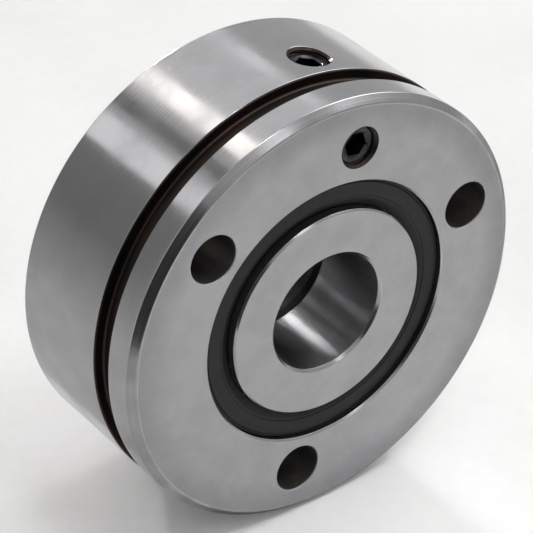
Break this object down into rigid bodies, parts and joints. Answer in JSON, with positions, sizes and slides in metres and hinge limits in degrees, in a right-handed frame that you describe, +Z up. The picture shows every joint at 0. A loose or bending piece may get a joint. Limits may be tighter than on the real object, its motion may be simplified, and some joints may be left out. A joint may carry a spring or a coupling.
{
  "type": "axial angular contact ball bearing",
  "caption": "Sealed axial angular contact ball bearing for a screw drive: bolt-on grooved outer ring, split inner ring, balls in cages, contact seals and lubrication screws.",
  "frame": {"origin": "centre of the bearing, on its axis at the middle plane where the two inner rings meet", "axes": "+Y along the bearing axis from the grooved front face to the rear face, +Z up as it stands on its rim"},
  "size_m": [0.062, 0.025, 0.062],
  "materials": {
    "outer_ring_steel": "ground",
    "inner_ring_steel": "ground",
    "ball_steel": "lapped bright",
    "cage_polyamide": "moulded",
    "seal_rubber": "moulded matt",
    "seal_plate": "pressed sheet",
    "screw_steel": "black oxide"
  },
  "bodies": {
    "outer_set": {"outer_ring": "outer_ring_steel", "front_seal_rubber": "seal_rubber", "front_seal_plate": "seal_plate", "rear_seal_rubber": "seal_rubber", "rear_seal_plate": "seal_plate", "axial_lube_screw": "screw_steel", "radial_lube_screw": "screw_steel"},
    "inner_set": {"inner_ring_front": "inner_ring_steel", "inner_ring_rear": "inner_ring_steel"},
    "front_cage": {"front_cage": "cage_polyamide"},
    "rear_cage": {"rear_cage": "cage_polyamide"},
    "front_ball_01": {"front_ball_01": "ball_steel"},
    "front_ball_02": {"front_ball_02": "ball_steel"},
    "front_ball_03": {"front_ball_03": "ball_steel"},
    "front_ball_04": {"front_ball_04": "ball_steel"},
    "front_ball_05": {"front_ball_05": "ball_steel"},
    "front_ball_06": {"front_ball_06": "ball_steel"},
    "front_ball_07": {"front_ball_07": "ball_steel"},
    "front_ball_08": {"front_ball_08": "ball_steel"},
    "front_ball_09": {"front_ball_09": "ball_steel"},
    "front_ball_10": {"front_ball_10": "ball_steel"},
    "front_ball_11": {"front_ball_11": "ball_steel"},
    "front_ball_12": {"front_ball_12": "ball_steel"},
    "front_ball_13": {"front_ball_13": "ball_steel"},
    "front_ball_14": {"front_ball_14": "ball_steel"},
    "rear_ball_01": {"rear_ball_01": "ball_steel"},
    "rear_ball_02": {"rear_ball_02": "ball_steel"},
    "rear_ball_03": {"rear_ball_03": "ball_steel"},
    "rear_ball_04": {"rear_ball_04": "ball_steel"},
    "rear_ball_05": {"rear_ball_05": "ball_steel"},
    "rear_ball_06": {"rear_ball_06": "ball_steel"},
    "rear_ball_07": {"rear_ball_07": "ball_steel"},
    "rear_ball_08": {"rear_ball_08": "ball_steel"},
    "rear_ball_09": {"rear_ball_09": "ball_steel"},
    "rear_ball_10": {"rear_ball_10": "ball_steel"},
    "rear_ball_11": {"rear_ball_11": "ball_steel"},
    "rear_ball_12": {"rear_ball_12": "ball_steel"},
    "rear_ball_13": {"rear_ball_13": "ball_steel"},
    "rear_ball_14": {"rear_ball_14": "ball_steel"}
  },
  "joints": [
    {"name": "inner_ring_spin", "type": "hinge", "parent": "outer_set", "child": "inner_set", "pos_m": [0, 0, 0], "axis": [0, 1, 0], "continuous": true},
    {"name": "front_cage_spin", "type": "hinge", "parent": "outer_set", "child": "front_cage", "pos_m": [0, 0, 0], "axis": [0, 1, 0], "continuous": true},
    {"name": "rear_cage_spin", "type": "hinge", "parent": "outer_set", "child": "rear_cage", "pos_m": [0, 0, 0], "axis": [0, 1, 0], "continuous": true},
    {"name": "front_ball_01_spin", "type": "hinge", "parent": "front_cage", "child": "front_ball_01", "pos_m": [0.00312, -0.00502, 0.01549], "axis": [-0.1712, 0.5, -0.8489], "continuous": true},
    {"name": "front_ball_02_spin", "type": "hinge", "parent": "front_cage", "child": "front_ball_02", "pos_m": [-0.00391, -0.00502, 0.01531], "axis": [0.2141, 0.5, -0.8391], "continuous": true},
    {"name": "front_ball_03_spin", "type": "hinge", "parent": "front_cage", "child": "front_ball_03", "pos_m": [-0.01016, -0.00502, 0.0121], "axis": [0.557, 0.5, -0.6631], "continuous": true},
    {"name": "front_ball_04_spin", "type": "hinge", "parent": "front_cage", "child": "front_ball_04", "pos_m": [-0.01441, -0.00502, 0.00649], "axis": [0.7896, 0.5, -0.3558], "continuous": true},
    {"name": "front_ball_05_spin", "type": "hinge", "parent": "front_cage", "child": "front_ball_05", "pos_m": [-0.01579, -0.00502, -0.0004], "axis": [0.8657, 0.5, 0.022], "continuous": true},
    {"name": "front_ball_06_spin", "type": "hinge", "parent": "front_cage", "child": "front_ball_06", "pos_m": [-0.01406, -0.00502, -0.00722], "axis": [0.7705, 0.5, 0.3955], "continuous": true},
    {"name": "front_ball_07_spin", "type": "hinge", "parent": "front_cage", "child": "front_ball_07", "pos_m": [-0.00953, -0.00502, -0.0126], "axis": [0.5226, 0.5, 0.6906], "continuous": true},
    {"name": "front_ball_08_spin", "type": "hinge", "parent": "front_cage", "child": "front_ball_08", "pos_m": [-0.00312, -0.00502, -0.01549], "axis": [0.1712, 0.5, 0.8489], "continuous": true},
    {"name": "front_ball_09_spin", "type": "hinge", "parent": "front_cage", "child": "front_ball_09", "pos_m": [0.00391, -0.00502, -0.01531], "axis": [-0.2141, 0.5, 0.8391], "continuous": true},
    {"name": "front_ball_10_spin", "type": "hinge", "parent": "front_cage", "child": "front_ball_10", "pos_m": [0.01016, -0.00502, -0.0121], "axis": [-0.557, 0.5, 0.6631], "continuous": true},
    {"name": "front_ball_11_spin", "type": "hinge", "parent": "front_cage", "child": "front_ball_11", "pos_m": [0.01441, -0.00502, -0.00649], "axis": [-0.7896, 0.5, 0.3558], "continuous": true},
    {"name": "front_ball_12_spin", "type": "hinge", "parent": "front_cage", "child": "front_ball_12", "pos_m": [0.01579, -0.00502, 0.0004], "axis": [-0.8657, 0.5, -0.022], "continuous": true},
    {"name": "front_ball_13_spin", "type": "hinge", "parent": "front_cage", "child": "front_ball_13", "pos_m": [0.01406, -0.00502, 0.00722], "axis": [-0.7705, 0.5, -0.3955], "continuous": true},
    {"name": "front_ball_14_spin", "type": "hinge", "parent": "front_cage", "child": "front_ball_14", "pos_m": [0.00953, -0.00502, 0.0126], "axis": [-0.5226, 0.5, -0.6906], "continuous": true},
    {"name": "rear_ball_01_spin", "type": "hinge", "parent": "rear_cage", "child": "rear_ball_01", "pos_m": [-0.0004, 0.00502, 0.01579], "axis": [-0.022, 0.5, 0.8657], "continuous": true},
    {"name": "rear_ball_02_spin", "type": "hinge", "parent": "rear_cage", "child": "rear_ball_02", "pos_m": [-0.00722, 0.00502, 0.01406], "axis": [-0.3955, 0.5, 0.7705], "continuous": true},
    {"name": "rear_ball_03_spin", "type": "hinge", "parent": "rear_cage", "child": "rear_ball_03", "pos_m": [-0.0126, 0.00502, 0.00953], "axis": [-0.6906, 0.5, 0.5226], "continuous": true},
    {"name": "rear_ball_04_spin", "type": "hinge", "parent": "rear_cage", "child": "rear_ball_04", "pos_m": [-0.01549, 0.00502, 0.00312], "axis": [-0.8489, 0.5, 0.1712], "continuous": true},
    {"name": "rear_ball_05_spin", "type": "hinge", "parent": "rear_cage", "child": "rear_ball_05", "pos_m": [-0.01531, 0.00502, -0.00391], "axis": [-0.8391, 0.5, -0.2141], "continuous": true},
    {"name": "rear_ball_06_spin", "type": "hinge", "parent": "rear_cage", "child": "rear_ball_06", "pos_m": [-0.0121, 0.00502, -0.01016], "axis": [-0.6631, 0.5, -0.557], "continuous": true},
    {"name": "rear_ball_07_spin", "type": "hinge", "parent": "rear_cage", "child": "rear_ball_07", "pos_m": [-0.00649, 0.00502, -0.01441], "axis": [-0.3558, 0.5, -0.7896], "continuous": true},
    {"name": "rear_ball_08_spin", "type": "hinge", "parent": "rear_cage", "child": "rear_ball_08", "pos_m": [0.0004, 0.00502, -0.01579], "axis": [0.022, 0.5, -0.8657], "continuous": true},
    {"name": "rear_ball_09_spin", "type": "hinge", "parent": "rear_cage", "child": "rear_ball_09", "pos_m": [0.00722, 0.00502, -0.01406], "axis": [0.3955, 0.5, -0.7705], "continuous": true},
    {"name": "rear_ball_10_spin", "type": "hinge", "parent": "rear_cage", "child": "rear_ball_10", "pos_m": [0.0126, 0.00502, -0.00953], "axis": [0.6906, 0.5, -0.5226], "continuous": true},
    {"name": "rear_ball_11_spin", "type": "hinge", "parent": "rear_cage", "child": "rear_ball_11", "pos_m": [0.01549, 0.00502, -0.00312], "axis": [0.8489, 0.5, -0.1712], "continuous": true},
    {"name": "rear_ball_12_spin", "type": "hinge", "parent": "rear_cage", "child": "rear_ball_12", "pos_m": [0.01531, 0.00502, 0.00391], "axis": [0.8391, 0.5, 0.2141], "continuous": true},
    {"name": "rear_ball_13_spin", "type": "hinge", "parent": "rear_cage", "child": "rear_ball_13", "pos_m": [0.0121, 0.00502, 0.01016], "axis": [0.6631, 0.5, 0.557], "continuous": true},
    {"name": "rear_ball_14_spin", "type": "hinge", "parent": "rear_cage", "child": "rear_ball_14", "pos_m": [0.00649, 0.00502, 0.01441], "axis": [0.3558, 0.5, 0.7896], "continuous": true}
  ],
  "couplings": [
    {"joint": "front_cage_spin", "follows": "inner_ring_spin", "ratio": 0.44976},
    {"joint": "rear_cage_spin", "follows": "inner_ring_spin", "ratio": 0.44976},
    {"joint": "front_ball_01_spin", "follows": "inner_ring_spin", "ratio": -2.4631},
    {"joint": "front_ball_02_spin", "follows": "inner_ring_spin", "ratio": -2.4631},
    {"joint": "front_ball_03_spin", "follows": "inner_ring_spin", "ratio": -2.4631},
    {"joint": "front_ball_04_spin", "follows": "inner_ring_spin", "ratio": -2.4631},
    {"joint": "front_ball_05_spin", "follows": "inner_ring_spin", "ratio": -2.4631},
    {"joint": "front_ball_06_spin", "follows": "inner_ring_spin", "ratio": -2.4631},
    {"joint": "front_ball_07_spin", "follows": "inner_ring_spin", "ratio": -2.4631},
    {"joint": "front_ball_08_spin", "follows": "inner_ring_spin", "ratio": -2.4631},
    {"joint": "front_ball_09_spin", "follows": "inner_ring_spin", "ratio": -2.4631},
    {"joint": "front_ball_10_spin", "follows": "inner_ring_spin", "ratio": -2.4631},
    {"joint": "front_ball_11_spin", "follows": "inner_ring_spin", "ratio": -2.4631},
    {"joint": "front_ball_12_spin", "follows": "inner_ring_spin", "ratio": -2.4631},
    {"joint": "front_ball_13_spin", "follows": "inner_ring_spin", "ratio": -2.4631},
    {"joint": "front_ball_14_spin", "follows": "inner_ring_spin", "ratio": -2.4631},
    {"joint": "rear_ball_01_spin", "follows": "inner_ring_spin", "ratio": -2.4631},
    {"joint": "rear_ball_02_spin", "follows": "inner_ring_spin", "ratio": -2.4631},
    {"joint": "rear_ball_03_spin", "follows": "inner_ring_spin", "ratio": -2.4631},
    {"joint": "rear_ball_04_spin", "follows": "inner_ring_spin", "ratio": -2.4631},
    {"joint": "rear_ball_05_spin", "follows": "inner_ring_spin", "ratio": -2.4631},
    {"joint": "rear_ball_06_spin", "follows": "inner_ring_spin", "ratio": -2.4631},
    {"joint": "rear_ball_07_spin", "follows": "inner_ring_spin", "ratio": -2.4631},
    {"joint": "rear_ball_08_spin", "follows": "inner_ring_spin", "ratio": -2.4631},
    {"joint": "rear_ball_09_spin", "follows": "inner_ring_spin", "ratio": -2.4631},
    {"joint": "rear_ball_10_spin", "follows": "inner_ring_spin", "ratio": -2.4631},
    {"joint": "rear_ball_11_spin", "follows": "inner_ring_spin", "ratio": -2.4631},
    {"joint": "rear_ball_12_spin", "follows": "inner_ring_spin", "ratio": -2.4631},
    {"joint": "rear_ball_13_spin", "follows": "inner_ring_spin", "ratio": -2.4631},
    {"joint": "rear_ball_14_spin", "follows": "inner_ring_spin", "ratio": -2.4631}
  ]
}
